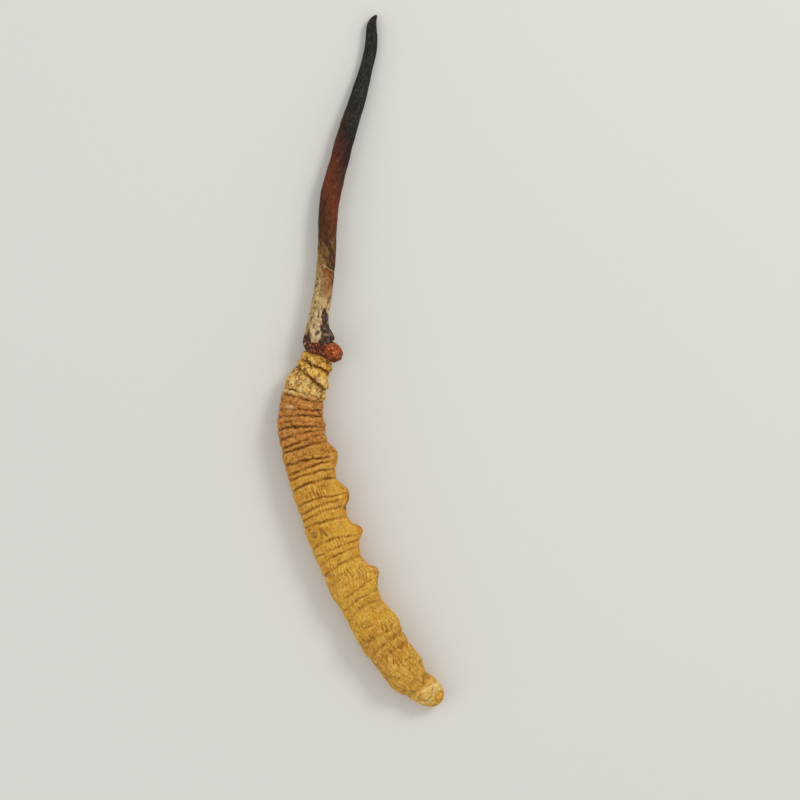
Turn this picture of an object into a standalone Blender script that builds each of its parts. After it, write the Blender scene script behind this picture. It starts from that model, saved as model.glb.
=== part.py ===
"""Dried cordyceps: a moth larva that a fungus filled, and the stalk that grew from its head.

It lies on its side on the plane z = 0, with its back towards -X, its belly and legs
towards +X and the tip of the stalk towards +Y. The lists below are in millimetres.
"""

import math

import bmesh
import bpy
import numpy as np
from mathutils import Vector, noise

MM = 0.001
OBJECT_NAME = "dried_cordyceps"
GAP = 0.3  # between two solids that touch in the real thing

# The larva's middle line seen from above, from neck to tail: x, y.
BODY_LINE = (
    (-4.95, 1.04), (-5.94, -1.11), (-6.76, -3.34), (-7.24, -5.66), (-7.30, -8.04),
    (-6.92, -10.38), (-6.34, -12.68), (-5.39, -16.10), (-3.94, -20.61), (-2.30, -25.05),
    (-0.31, -29.36), (1.98, -33.51), (4.50, -37.51), (6.85, -40.18), (8.70, -41.62),
    (10.36, -42.40),
)
# Distance from the neck, then half widths on the belly side and on the back side,
# measured between the folds and without the legs.
BODY_WIDTHS = (
    (0.0, 1.70, 2.08), (0.8, 1.84, 2.08), (1.5, 2.10, 2.06), (2.6, 2.20, 2.16),
    (3.6, 2.50, 2.46), (5.0, 2.50, 2.74), (7.0, 2.58, 2.84), (9.5, 2.78, 3.10),
    (12.0, 2.75, 3.10), (14.5, 2.72, 3.18), (16.5, 2.74, 3.16), (20.0, 2.70, 3.10),
    (24.0, 2.68, 3.08), (26.0, 2.78, 3.00), (27.5, 2.50, 2.90), (28.8, 2.70, 2.90),
    (30.5, 2.60, 2.96), (32.0, 2.76, 2.84), (33.2, 2.46, 2.76), (35.0, 2.60, 2.76),
    (36.8, 2.94, 2.84), (39.0, 2.70, 2.76), (41.8, 2.62, 2.54), (43.4, 2.54, 2.62),
    (44.6, 2.04, 2.40), (45.5, 1.84, 2.10), (46.6, 1.94, 1.92), (48.0, 1.86, 1.80),
    (49.4, 1.74, 1.76),
)
BODY_FLATNESS = 0.94  # height over width of a cross-section
BODY_SUNK = 0.16  # how far the round section is pressed flat where it lies
TAIL_ROUND = 2.7  # length over which the tail closes to a round end
TAIL_BLUNT = 2.4  # power of the curve it closes by: 2 is a circle, more is blunter
SKIN_LUMPS = (1.1, 0.10)  # patch size and height of the skin's unevenness
LUMP_RADIUS = 3.0  # of the round body that all unevenness is laid out on

# Ring folds: where each groove runs on the back, on the upper flank and on the belly,
# as distances from the neck, and its depth.
GROOVES = (
    (1.75, 1.90, 1.92, 0.28), (2.78, 3.45, 4.40, 0.26),
    (5.42, 5.50, 5.60, 0.14), (5.92, 6.25, 6.15, 0.20), (7.75, 7.64, 7.45, 0.22),
    (8.52, 8.40, 8.30, 0.22), (9.88, 9.75, 10.20, 0.26), (10.90, 10.62, 10.52, 0.20),
    (11.90, 11.42, 11.12, 0.24), (12.40, 12.25, 12.20, 0.26), (14.02, 13.92, 14.45, 0.28),
    (15.25, 14.82, 14.82, 0.22), (15.90, 15.62, 15.85, 0.22), (17.25, 16.75, 17.08, 0.30),
    (19.25, 18.90, 19.42, 0.22), (20.25, 19.80, 19.86, 0.22), (21.10, 20.62, 20.80, 0.20),
    (21.90, 21.88, 22.22, 0.26), (24.75, 24.25, 24.98, 0.22), (25.75, 25.38, 25.50, 0.20),
    (26.90, 26.25, 26.52, 0.20), (28.25, 27.50, 27.62, 0.26), (30.40, 30.12, 29.90, 0.07),
    (31.88, 31.30, 31.00, 0.20), (33.00, 32.44, 32.50, 0.22), (34.38, 33.50, 33.82, 0.24),
    (37.75, 37.60, 37.88, 0.20), (39.50, 38.88, 38.62, 0.26), (40.62, 40.12, 40.25, 0.14),
    (45.40, 46.00, 45.25, 0.20),
)
GROOVE_REACH = 0.55  # how far the skin bends down on either side of a groove
EDGE_FOLD = 0.65  # depth of a fold along the belly and the back, over that on the flanks
BODY_START, BODY_END = 0.80, 49.2

# The belly legs, in pairs: distance from the neck, reach along the body before and
# after that point, and height.
BELLY_LEGS = (
    (14.10, 1.65, 1.75, 0.88), (19.45, 1.85, 1.60, 0.90), (24.25, 1.10, 1.45, 1.08),
    (30.20, 1.15, 1.45, 1.00),
)
# The stubs of the front legs: distance from the neck, radius and height.
FRONT_LEGS = ((1.45, 0.42, 0.22), (3.70, 0.46, 0.20), (5.65, 0.44, 0.34), (10.05, 0.60, 0.30))
LEG_ANGLE = math.radians(20.0)  # of each leg of a pair above and below the belly line
LEG_SPREAD = math.radians(18.0)
LEG_RAISE = 1.26  # a leg's height over what its outline shows seen from above
LEG_DROP, LEG_BLUNT = 1.6, 2.6  # how steeply and how squarely a leg falls off lengthwise
LEAST_FOLD = 0.25  # share of a fold's depth that is left over a leg

# The stalk's middle line from its foot to its tip: x, y and the height of its underside.
STALK_LINE = (
    (-5.21, 2.95, 0.62), (-5.22, 4.20, 0.98), (-4.99, 7.11, 1.22), (-4.41, 10.76, 1.10),
    (-4.18, 14.44, 0.88), (-3.94, 19.35, 0.62), (-2.89, 24.16, 0.38), (-1.60, 28.91, 0.18),
    (-0.14, 33.61, 0.04), (0.84, 37.16, 0.0), (1.39, 40.81, 0.06), (1.98, 43.20, 0.30),
)
# Distance from the tip, and radius.
STALK_RADII = (
    (0.0, 0.02), (0.25, 0.27), (0.7, 0.45), (1.4, 0.62), (2.5, 0.70), (4.0, 0.77),
    (6.5, 0.80), (8.6, 0.87), (9.9, 0.97), (12.5, 1.06), (15.0, 1.13), (19.5, 1.17),
    (23.4, 1.26), (26.0, 1.19), (29.0, 1.14), (33.0, 1.14), (36.5, 1.14), (38.4, 1.18),
    (39.4, 1.34), (40.4, 1.62), (40.8, 1.66),
)
STALK_LUMPS = (0.55, 0.09)
STALK_STRETCH = 3.0  # length over width of the stalk's uneven patches
TIP_CROWDING = 0.9  # draws the stalk's rings towards its thin tip

# The head: its middle, half sizes across the neck, along it and upwards, and the lumps
# on it as direction, reach and height.
HEAD_CENTRE = (-4.86, 1.40, 2.26)
HEAD_SIZE = (2.30, 1.42, 2.20)
HEAD_LUMPS = (
    ((0.74, 0.60, 0.25), 0.62, 0.26), ((0.95, -0.25, 0.10), 0.50, 0.14),
    ((0.55, 0.10, 0.80), 0.45, 0.18), ((-0.70, 0.45, 0.55), 0.40, 0.18),
    ((-0.95, 0.10, 0.10), 0.45, 0.14),
)
HEAD_UNEVENNESS = (0.32, 0.05)  # patch size and height, over the head's half size

BODY_RING_SPACING = 0.44
BODY_SEGMENTS = 28
STALK_RINGS = 62
STALK_SEGMENTS = 14
HEAD_SEGMENTS = 24
SHARP_ANGLE = math.radians(40.0)

SKIN_COLOUR = (0.55, 0.30, 0.075, 1.0)
HEAD_COLOUR = (0.30, 0.075, 0.02, 1.0)
STALK_COLOUR = (0.075, 0.035, 0.02, 1.0)


def clear_scene():
    for found in list(bpy.data.objects):
        bpy.data.objects.remove(found, do_unlink=True)


def spline(knots, values, at):
    """Reads a smooth curve, a natural cubic through the knots, at the given places."""
    knots = np.asarray(knots, float)
    values = np.asarray(values, float)
    step = np.diff(knots)
    slope = np.diff(values) / step
    size = len(knots)
    matrix = np.eye(size)
    rhs = np.zeros(size)
    for i in range(1, size - 1):
        matrix[i, i - 1:i + 2] = step[i - 1], 2 * (step[i - 1] + step[i]), step[i]
        rhs[i] = 6 * (slope[i] - slope[i - 1])
    bend = np.linalg.solve(matrix, rhs)
    i = np.clip(np.searchsorted(knots, at) - 1, 0, size - 2)
    past = at - knots[i]
    linear = slope[i] - step[i] * (2 * bend[i] + bend[i + 1]) / 6
    cubic = (bend[i + 1] - bend[i]) / (6 * step[i])
    return values[i] + past * (linear + past * (bend[i] / 2 + past * cubic))


def path_reader(points):
    """Makes a function that gives the place and direction at a distance along a smooth path."""
    points = np.asarray(points, float)
    chords = np.r_[0.0, np.cumsum(np.linalg.norm(np.diff(points, axis=0), axis=1))]
    fine = np.linspace(0.0, chords[-1], 800)
    curve = np.stack([spline(chords, column, fine) for column in points.T], axis=1)
    length = np.r_[0.0, np.cumsum(np.linalg.norm(np.diff(curve, axis=0), axis=1))]
    direction = np.gradient(curve, length, axis=0)

    def read(distance):
        place = np.stack([np.interp(distance, length, c) for c in curve.T], axis=1)
        ahead = np.stack([np.interp(distance, length, c) for c in direction.T], axis=1)
        return place, ahead / np.linalg.norm(ahead, axis=1, keepdims=True)

    return read, length[-1]


def around(belly, flank, back, angle):
    """A value on the belly side, on both flanks and on the back, blended round the section."""
    under = 0.5 * (belly + back)
    mean = (belly + flank + back + under) / 4
    return (mean + (belly - back) / 2 * np.cos(angle) + (flank - under) / 2 * np.sin(angle)
            + (belly - flank + back - under) / 4 * np.cos(2 * angle))


def stations(edges, spacing, least):
    """Shares out rings between neighbouring edges: (number of the gap, share of it)."""
    found = []
    for gap in range(len(edges) - 1):
        count = max(least, round((edges[gap + 1] - edges[gap]) / spacing))
        found += [(gap, step / count) for step in range(count)]
    return found + [(len(edges) - 2, 1.0)]


def sphere_grid(rings, segments):
    """A sphere with this many rings between its poles, and each vertex's ring and angle."""
    shape = bmesh.new()
    bmesh.ops.create_uvsphere(shape, u_segments=segments, v_segments=rings + 1, radius=1.0)
    places = np.array([vertex.co for vertex in shape.verts])
    ring = np.rint(np.arccos(np.clip(places[:, 2], -1, 1)) / math.pi * (rings + 1)).astype(int)
    return shape, ring, np.arctan2(places[:, 1], places[:, 0])


def uneven(points):
    return np.array([noise.noise(Vector(point)) for point in points])


def roughness(distance, angle, size, height):
    """Uneven offsets of about this height, in patches of this size, over a round body."""
    round_about = LUMP_RADIUS * np.column_stack([np.cos(angle), np.sin(angle)])
    return height * uneven(np.column_stack([distance, round_about]) / size)


def wrapped(angle):
    return (angle + math.pi) % (2 * math.pi) - math.pi


def fold_offset(distance, angle, legs):
    """How far the grooves pull the skin in. They fade out over the legs."""
    offset = np.zeros_like(distance)
    for back, flank, belly, depth in GROOVES:
        away = np.abs(distance - around(belly, flank, back, angle)) / GROOVE_REACH
        offset -= depth * np.clip(1 - away, 0, 1) ** 2
    edge = EDGE_FOLD + (1 - EDGE_FOLD) * np.abs(np.sin(angle))
    return offset * edge * np.clip(1 - legs, LEAST_FOLD, 1)


def leg_offset(distance, angle):
    """How far the belly legs and the stubs of the front legs stand out of the skin."""
    offset = np.zeros_like(distance)
    for side in (1, -1):
        across = wrapped(angle - side * LEG_ANGLE) / LEG_SPREAD
        for centre, before, after, height in BELLY_LEGS:
            along = distance - centre
            along = np.where(along < 0, along / before, along / after)
            outline = np.exp(-LEG_DROP * np.abs(along) ** LEG_BLUNT - across ** 2)
            offset += LEG_RAISE * height * outline
        for centre, radius, height in FRONT_LEGS:
            along = (distance - centre) / radius
            offset += height * np.exp(-along ** 2 - across ** 2)
    return offset


def body_grid(spacing, segments):
    """A closed grid whose rings follow the grooves: the shape, each vertex's angle round
    the body and its distance from the neck, and which vertices close the two ends."""
    edges = [BODY_START] + [groove[1] for groove in GROOVES] + [BODY_END]
    by_ring = stations(edges, spacing, 3)
    shape, ring, angle = sphere_grid(len(by_ring), segments)
    inner = np.clip(ring - 1, 0, len(by_ring) - 1)
    gap, share = np.array(by_ring)[inner].T
    gap = gap.astype(int)
    lines = [(BODY_START,) * 3] + [groove[:3] for groove in GROOVES] + [(BODY_END,) * 3]
    back, flank, belly = np.array(lines).T
    start = around(belly[gap], flank[gap], back[gap], angle)
    end = around(belly[gap + 1], flank[gap + 1], back[gap + 1], angle)
    ends = (ring == 0) | (ring == len(by_ring) + 1)
    return shape, angle, start + share * (end - start), ends


def body_places(angle, distance, ends):
    """Where the vertices of the skin lie."""
    read, length = path_reader(BODY_LINE)
    knots, belly, back = np.array(BODY_WIDTHS).T
    belly = spline(knots, belly, distance)
    back = spline(knots, back, distance)
    half_height = BODY_FLATNESS * 0.5 * (belly + back)
    legs = leg_offset(distance, angle)
    swell = legs + fold_offset(distance, angle, legs) + roughness(distance, angle, *SKIN_LUMPS)
    past = np.clip((distance - BODY_END + TAIL_ROUND) / TAIL_ROUND, 0, 1)
    reach = np.where(ends, 0.0, np.sqrt(1 - past ** TAIL_BLUNT))
    side = np.where(np.cos(angle) > 0, belly, back) + swell
    place, ahead = read(np.clip(distance, 0, length))
    across = np.stack([-ahead[:, 1], ahead[:, 0]], axis=1)
    flat = place + across * (side * np.cos(angle) * reach)[:, None]
    height = half_height - BODY_SUNK + (half_height + swell) * np.sin(angle) * reach
    return np.column_stack([flat, height])


def stalk_places(angle, distance, ends):
    """Where the vertices of the stalk lie. The distance is from the foot."""
    read, length = path_reader(STALK_LINE)
    knots, radii = np.array(STALK_RADII).T
    radius = np.interp(length - distance, knots, radii)
    lumps = roughness(distance / STALK_STRETCH, angle, *STALK_LUMPS)
    reach = np.where(ends, 0.0, radius + lumps * np.clip(radius, 0, 1))
    place, ahead = read(distance)
    across = np.stack([ahead[:, 1], -ahead[:, 0]], axis=1)
    across /= np.linalg.norm(across, axis=1, keepdims=True)
    flat = place[:, :2] + across * (reach * np.cos(angle))[:, None]
    height = place[:, 2] + radius + reach * np.sin(angle)
    return np.column_stack([flat, height])


def pressed_flat(places, point, normal):
    """Moves what lies beyond a plane back onto it."""
    normal = np.array(normal) / np.linalg.norm(normal)
    beyond = np.clip((places - point) @ normal, 0, None)
    return places - beyond[:, None] * normal


def body_shape():
    shape, angle, distance, ends = body_grid(BODY_RING_SPACING, BODY_SEGMENTS)
    return shape, body_places(angle, distance, ends)


def stalk_shape():
    length = path_reader(STALK_LINE)[1]
    shape, ring, angle = sphere_grid(STALK_RINGS, STALK_SEGMENTS)
    share = np.clip(ring - 1, 0, STALK_RINGS - 1) / (STALK_RINGS - 1)
    ends = (ring == 0) | (ring == STALK_RINGS + 1)
    distance = length * np.sin(share * math.pi / 2) ** TIP_CROWDING
    return shape, stalk_places(angle, distance, ends)


def head_shape():
    shape = bmesh.new()
    bmesh.ops.create_uvsphere(
        shape, u_segments=HEAD_SEGMENTS, v_segments=HEAD_SEGMENTS // 2, radius=1.0)
    unit = np.array([vertex.co for vertex in shape.verts])
    patch, height = HEAD_UNEVENNESS
    swell = 1 + height * uneven(unit / patch)
    for direction, reach, height in HEAD_LUMPS:
        away = unit - np.array(direction) / np.linalg.norm(direction)
        swell += height * np.exp(-(away ** 2).sum(axis=1) / reach ** 2)
    neck, ahead = path_reader(BODY_LINE)[0](np.array([BODY_START]))
    along = np.array([-ahead[0, 0], -ahead[0, 1], 0.0])
    across = np.array([-ahead[0, 1], ahead[0, 0], 0.0])
    local = unit * np.array(HEAD_SIZE) * swell[:, None]
    places = local @ np.array([across, along, [0.0, 0.0, 1.0]]) + HEAD_CENTRE
    places = pressed_flat(places, [*neck[0], 0.0] + along * GAP, -along)
    foot = np.array(STALK_LINE[0])
    return shape, pressed_flat(places, foot - [0.0, GAP, 0.0], (0.0, 1.0, 0.0))


def add_material(name, colour, rough):
    material = bpy.data.materials.new(name)
    material.use_nodes = True
    surface = material.node_tree.nodes["Principled BSDF"]
    surface.inputs["Base Color"].default_value = colour
    surface.inputs["Roughness"].default_value = rough
    surface.inputs["Metallic"].default_value = 0.0
    return material


def add_piece(name, shape, places, material, collection):
    """Makes an object of the shape, with its vertices at these places and flat on z = 0."""
    places[:, 2] = np.maximum(places[:, 2], 0.0)
    for vertex, place in zip(shape.verts, places):
        vertex.co = Vector(place) * MM
    if shape.calc_volume(signed=True) < 0:
        bmesh.ops.reverse_faces(shape, faces=shape.faces)
    mesh = bpy.data.meshes.new(name)
    shape.to_mesh(mesh)
    shape.free()
    mesh.shade_smooth()
    mesh.set_sharp_from_angle(angle=SHARP_ANGLE)
    mesh.materials.append(material)
    piece = bpy.data.objects.new(name, mesh)
    collection.objects.link(piece)
    return piece


def main():
    clear_scene()
    collection = bpy.data.collections.new(OBJECT_NAME)
    bpy.context.scene.collection.children.link(collection)
    skin = add_material("dried_skin", SKIN_COLOUR, 0.62)
    add_piece("larva_body", *body_shape(), skin, collection)
    head = add_material("head_capsule", HEAD_COLOUR, 0.55)
    add_piece("larva_head", *head_shape(), head, collection)
    stalk = add_material("stalk_flesh", STALK_COLOUR, 0.66)
    add_piece("stroma", *stalk_shape(), stalk, collection)


main()
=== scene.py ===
"""Dried cordyceps on a pale floor, seen from straight above.

The skin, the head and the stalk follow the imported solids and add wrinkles, granules and
flakes. They also reach into one another, where the solids keep small gaps. Lengths in
the lists are millimetres; objects are in metres.
"""

import itertools
import math

import bmesh
import bpy
import numpy as np
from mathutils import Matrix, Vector, noise

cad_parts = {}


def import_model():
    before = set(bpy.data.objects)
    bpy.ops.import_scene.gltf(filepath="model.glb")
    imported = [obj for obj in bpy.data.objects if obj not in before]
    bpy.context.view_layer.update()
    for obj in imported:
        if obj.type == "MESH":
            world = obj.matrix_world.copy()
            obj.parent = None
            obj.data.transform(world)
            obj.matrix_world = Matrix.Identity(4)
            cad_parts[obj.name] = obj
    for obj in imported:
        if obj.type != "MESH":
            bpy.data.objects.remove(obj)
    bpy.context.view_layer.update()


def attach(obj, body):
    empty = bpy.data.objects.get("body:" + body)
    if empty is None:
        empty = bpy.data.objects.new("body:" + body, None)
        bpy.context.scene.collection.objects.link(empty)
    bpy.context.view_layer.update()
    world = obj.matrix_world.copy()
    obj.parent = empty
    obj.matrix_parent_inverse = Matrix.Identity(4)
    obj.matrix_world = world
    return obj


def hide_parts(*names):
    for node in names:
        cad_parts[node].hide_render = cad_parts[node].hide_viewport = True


MM = 0.001

# ---- main forms

# These are the forms of the solids, apart from a finer grid, a third leg that is a little
# lower, a body and a stalk that start inside the head, and the stalk's finer foot and tip.

# The larva's middle line seen from above, from neck to tail: x, y.
BODY_LINE = (
    (-4.95, 1.04), (-5.94, -1.11), (-6.76, -3.34), (-7.24, -5.66), (-7.3, -8.04),
    (-6.92, -10.38), (-6.34, -12.68), (-5.39, -16.1), (-3.94, -20.61), (-2.3, -25.05),
    (-0.31, -29.36), (1.98, -33.51), (4.5, -37.51), (6.85, -40.18), (8.7, -41.62),
    (10.36, -42.4),
)
# Distance from the neck, then half widths on the belly side and on the back side.
BODY_WIDTHS = (
    (0.0, 1.7, 2.08), (0.8, 1.84, 2.08), (1.5, 2.1, 2.06), (2.6, 2.2, 2.16),
    (3.6, 2.5, 2.46), (5.0, 2.5, 2.74), (7.0, 2.58, 2.84), (9.5, 2.78, 3.1),
    (12.0, 2.75, 3.1), (14.5, 2.72, 3.18), (16.5, 2.74, 3.16), (20.0, 2.7, 3.1),
    (24.0, 2.68, 3.08), (26.0, 2.78, 3.0), (27.5, 2.5, 2.9), (28.8, 2.7, 2.9),
    (30.5, 2.6, 2.96), (32.0, 2.76, 2.84), (33.2, 2.46, 2.76), (35.0, 2.6, 2.76),
    (36.8, 2.94, 2.84), (39.0, 2.7, 2.76), (41.8, 2.62, 2.54), (43.4, 2.54, 2.62),
    (44.6, 2.04, 2.4), (45.5, 1.84, 2.1), (46.6, 1.94, 1.92), (48.0, 1.86, 1.8),
    (49.4, 1.74, 1.76),
)
BODY_FLATNESS = 0.94  # height over width of a cross-section
BODY_SUNK = 0.16  # how far the round section is pressed flat where it lies
TAIL_ROUND = 2.7  # length over which the tail closes
TAIL_BLUNT = 2.4  # power of the curve it closes by: 2 is a circle, more is blunter
SKIN_LUMPS = (1.1, 0.1)  # patch size and height of the skin's unevenness
LUMP_RADIUS = 3.0  # of the round body that this unevenness is laid out on
BODY_START, BODY_END = 0.0, 49.2

# Ring folds: where each groove runs on the back, on the upper flank and on the belly,
# as distances from the neck, and its depth.
GROOVES = (
    (1.75, 1.9, 1.92, 0.28), (2.78, 3.45, 4.4, 0.26),
    (5.42, 5.5, 5.6, 0.14), (5.92, 6.25, 6.15, 0.2), (7.75, 7.64, 7.45, 0.22),
    (8.52, 8.4, 8.3, 0.22), (9.88, 9.75, 10.2, 0.26), (10.9, 10.62, 10.52, 0.2),
    (11.9, 11.42, 11.12, 0.24), (12.4, 12.25, 12.2, 0.26), (14.02, 13.92, 14.45, 0.28),
    (15.25, 14.82, 14.82, 0.22), (15.9, 15.62, 15.85, 0.22), (17.25, 16.75, 17.08, 0.3),
    (19.25, 18.9, 19.42, 0.22), (20.25, 19.8, 19.86, 0.22), (21.1, 20.62, 20.8, 0.2),
    (21.9, 21.88, 22.22, 0.26), (24.75, 24.25, 24.98, 0.22), (25.75, 25.38, 25.5, 0.2),
    (26.9, 26.25, 26.52, 0.2), (28.25, 27.5, 27.62, 0.26), (30.4, 30.12, 29.9, 0.07),
    (31.88, 31.3, 31.0, 0.2), (33.0, 32.44, 32.5, 0.22), (34.38, 33.5, 33.82, 0.24),
    (37.75, 37.6, 37.88, 0.2), (39.5, 38.88, 38.62, 0.26), (40.62, 40.12, 40.25, 0.14),
    (45.4, 46.0, 45.25, 0.2),
)
GROOVE_REACH = 0.55  # how far the skin bends down on either side of a groove
EDGE_FOLD = 0.65  # depth of a fold along the belly and the back, over that on the flanks

# The belly legs, in pairs: distance from the neck, reach along the body before and
# after that point, and height.
BELLY_LEGS = (
    (14.1, 1.65, 1.75, 0.88), (19.45, 1.85, 1.6, 0.9), (24.25, 1.1, 1.45, 0.97),
    (30.2, 1.15, 1.45, 1.0),
)
# The stubs of the front legs: distance from the neck, radius and height.
FRONT_LEGS = ((1.45, 0.42, 0.22), (3.7, 0.46, 0.2), (5.65, 0.44, 0.34), (10.05, 0.6, 0.3))
LEG_ANGLE = math.radians(20.0)  # of each leg of a pair above and below the belly line
LEG_SPREAD = math.radians(18.0)
LEG_RAISE = 1.26  # a leg's height over what its outline shows seen from above
LEG_DROP, LEG_BLUNT = 1.6, 2.6  # how steeply and how squarely a leg falls off lengthwise
LEAST_FOLD = 0.25  # share of a fold's depth that is left over a leg

# The stalk's middle line from inside the head to its tip: x, y, height of its underside.
STALK_LINE = (
    (-5.08, 1.55, 0.16), (-5.27, 2.95, 0.62), (-5.34, 4.2, 0.98), (-4.93, 7.11, 1.22),
    (-4.41, 10.76, 1.1), (-4.18, 14.44, 0.88), (-3.94, 19.35, 0.62), (-2.89, 24.16, 0.38),
    (-1.6, 28.91, 0.18), (-0.14, 33.61, 0.04), (0.84, 37.16, 0.0), (1.38, 40.4, 0.06),
    (1.4, 41.9, 0.16), (1.62, 42.75, 0.26), (2.02, 43.36, 0.4),
)
# Distance from the tip, and radius.
STALK_RADII = (
    (0.0, 0.06), (0.12, 0.16), (0.4, 0.28), (0.8, 0.43), (1.4, 0.58), (2.5, 0.68), (4.0, 0.77),
    (6.5, 0.8), (8.6, 0.87), (9.9, 0.97), (12.5, 1.06), (15.0, 1.13), (19.5, 1.17),
    (23.4, 1.26), (26.0, 1.19), (29.0, 1.14), (33.0, 1.14), (36.5, 1.14), (38.4, 1.17),
    (39.4, 1.26), (40.4, 1.48), (41.2, 1.82), (41.8, 1.95), (42.4, 1.97),
)
STALK_LUMPS = (0.55, 0.09)
STALK_STRETCH = 3.0  # length over width of the stalk's uneven patches
TIP_CROWDING = 0.9  # draws the stalk's rings towards its thin tip
FOOT_REACH = 4.0  # how far up the rings give way to the foot's uneven edge
FOOT_HIDDEN = 1.4  # how much further into the head it starts than its solid does

# The head: its middle, half sizes across the neck, along it and upwards, and the lumps
# on it as direction, reach and height.
HEAD_CENTRE = (-4.86, 1.4, 2.26)
HEAD_SIZE = (2.3, 1.42, 2.2)
HEAD_LUMPS = (
    ((0.74, 0.6, 0.25), 0.62, 0.26), ((0.95, -0.25, 0.1), 0.5, 0.14),
    ((0.55, 0.1, 0.8), 0.45, 0.18), ((-0.7, 0.45, 0.55), 0.4, 0.18),
    ((-0.95, 0.1, 0.1), 0.45, 0.14),
)
HEAD_UNEVENNESS = (0.32, 0.05)  # patch size and height, over the head's half size

# ---- what only shows close up

BODY_RING_SPACING = 0.092  # between rings of vertices
BODY_SEGMENTS = 172  # vertices round it
STALK_RINGS, STALK_SEGMENTS = 560, 96
HEAD_SEGMENTS = 300
TOP_CROWDING = 0.35  # draws the skin's vertices towards its upper side
SKIN_RADIUS = 2.8  # of the round body that the skin's fine relief is laid out on
NECK_RADIUS, STALK_RADIUS = 2.4, 1.2  # and those of the neck's crumbs and the stalk
NECK_END = (5.75, 6.35)  # the crumbly neck fades out between these distances
FRONT_END = (12.0, 20.0)  # and so do the deep creases of the front
ROUGH_END = (11.5, 19.0)  # and its rougher skin
FINE_RELIEF = 0.048  # height of the wrinkles
CREASE_WIDTH = 0.075  # on either side of its line
PLEATS = 46  # fine pleats round the body, which run along it
PALER_REAR = 0.5  # how much less painted shade the grooves get on the rear half

# Where wrinkles run round a dimple on the rear: x, y, reach, and the gap between them.
SWIRL = (0.75, -32.6, 1.6, 0.58)

# Where the head ends on the neck, and where the stalk's foot ends on the head: x, y.
NECK_EDGE = ((-7.2, 1.0), (-6.25, 0.81), (-5.5, 0.87), (-5.0, 0.69), (-4.4, 0.44),
             (-4.0, 0.19), (-3.6, 0.0), (-3.3, -0.5))
FOOT_EDGE = ((-7.2, 3.1), (-6.25, 2.9), (-6.15, 2.2), (-5.9, 2.17), (-5.5, 2.4),
             (-5.25, 2.3), (-5.1, 1.8), (-4.75, 1.7), (-4.4, 1.85), (-4.0, 2.0),
             (-3.4, 2.15), (-3.2, 2.4))

# Stretches of the skin with wide lobes that are crinkled: from, to, strength.
CRINKLED = ((12.3, 13.9, 0.6), (16.9, 19.0, 1.0), (22.0, 24.4, 0.6), (27.7, 31.2, 1.0),
            (34.0, 37.6, 1.0), (40.2, 45.3, 1.0), (45.6, 49.5, 0.8))

# Cracks, pits and stains on the upper side of the larva, as seen from above: x, y.
CRACKS = (
    ((-7.12, -1.19), (-6.5, -0.88)),
    ((-6.75, -1.31), (-6.38, -1.88), (-6.12, -2.19), (-5.38, -2.81), (-4.94, -3.06)),
    ((-6.44, -1.75), (-6.12, -2.25), (-5.5, -2.69)),
    ((-4.69, -3.19), (-4.5, -3.75)),
    ((-5.06, -0.9), (-4.69, -1.1), (-4.25, -1.31)),
    ((-5.69, -0.66), (-5.25, -0.85)),
    ((-4.12, -1.85), (-3.62, -1.66)),
    ((-9.0, -3.62), (-8.38, -3.66), (-7.88, -3.58)),
    ((-5.38, -4.75), (-4.94, -4.94)),
    ((-9.15, -7.66), (-8.77, -7.66), (-8.21, -8.41)),
    ((-5.69, -5.25), (-5.75, -5.75), (-5.19, -6.25), (-5.0, -6.69)),
    ((-1.44, -16.2), (-1.36, -17.0), (-1.58, -17.75)),
)
FAINT_CRACKS = (
    ((8.8, -41.2), (8.88, -41.88), (8.5, -42.31)),
    ((5.88, -41.94), (6.38, -41.38), (6.25, -40.94)),
    ((-7.19, 0.12), (-6.75, -0.19), (-6.38, -0.5), (-6.12, -0.75)),
    ((-6.38, -11.31), (-6.0, -11.62), (-5.88, -12.12)),
    ((8.0, -39.06), (7.81, -39.5), (7.88, -40.0)),
    ((0.3, -32.85), (0.55, -32.95), (0.95, -32.85), (1.1, -32.5)),
    ((-0.05, -33.1), (0.45, -33.35), (1.1, -33.2), (1.45, -32.8)),
)
# Pits and stains are x, y and radius.
PITS = (
    (-7.98, -3.29, 0.13), (-7.16, -3.35, 0.13), (-7.81, -1.56, 0.13), (-7.69, -1.25, 0.12),
    (-8.25, -2.12, 0.12), (-7.04, -1.69, 0.12), (-6.25, -3.38, 0.12), (-6.69, -2.12, 0.14),
    (-5.31, -16.62, 0.16), (-5.12, -16.88, 0.12), (-4.54, -21.5, 0.26),
    (-4.9, -21.12, 0.18), (-4.22, -21.8, 0.16),
    (-5.64, -22.03, 0.17), (-6.4, -21.17, 0.14), (-3.85, -22.38, 0.16),
    (-0.04, -25.75, 0.13), (0.67, -32.56, 0.14), (4.75, -39.62, 0.13), (5.12, -35.81, 0.13),
    (8.96, -41.06, 0.13), (-7.0, -6.73, 0.13), (-3.58, -1.29, 0.17), (-4.47, -3.62, 0.14),
    # The last pit is painted shadow under the toe of the first belly leg.
    (6.62, -41.4, 0.13), (-1.9, -18.42, 0.26),
)
PALE_SPOTS = (
    (-6.31, 0.1, 0.2), (-5.9, -0.1, 0.22), (-6.75, -0.62, 0.2), (-7.0, -2.91, 0.25),
    (-5.75, -1.04, 0.22), (-9.05, -5.78, 0.21), (-8.7, -5.8, 0.22), (-8.62, -3.95, 0.25),
    (-6.5, -2.9, 0.24), (-6.9, -4.2, 0.3), (-8.6, -2.6, 0.26), (9.5, -40.6, 0.34),
    (-7.6, -3.6, 0.2), (9.85, -41.0, 0.24),
)
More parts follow.
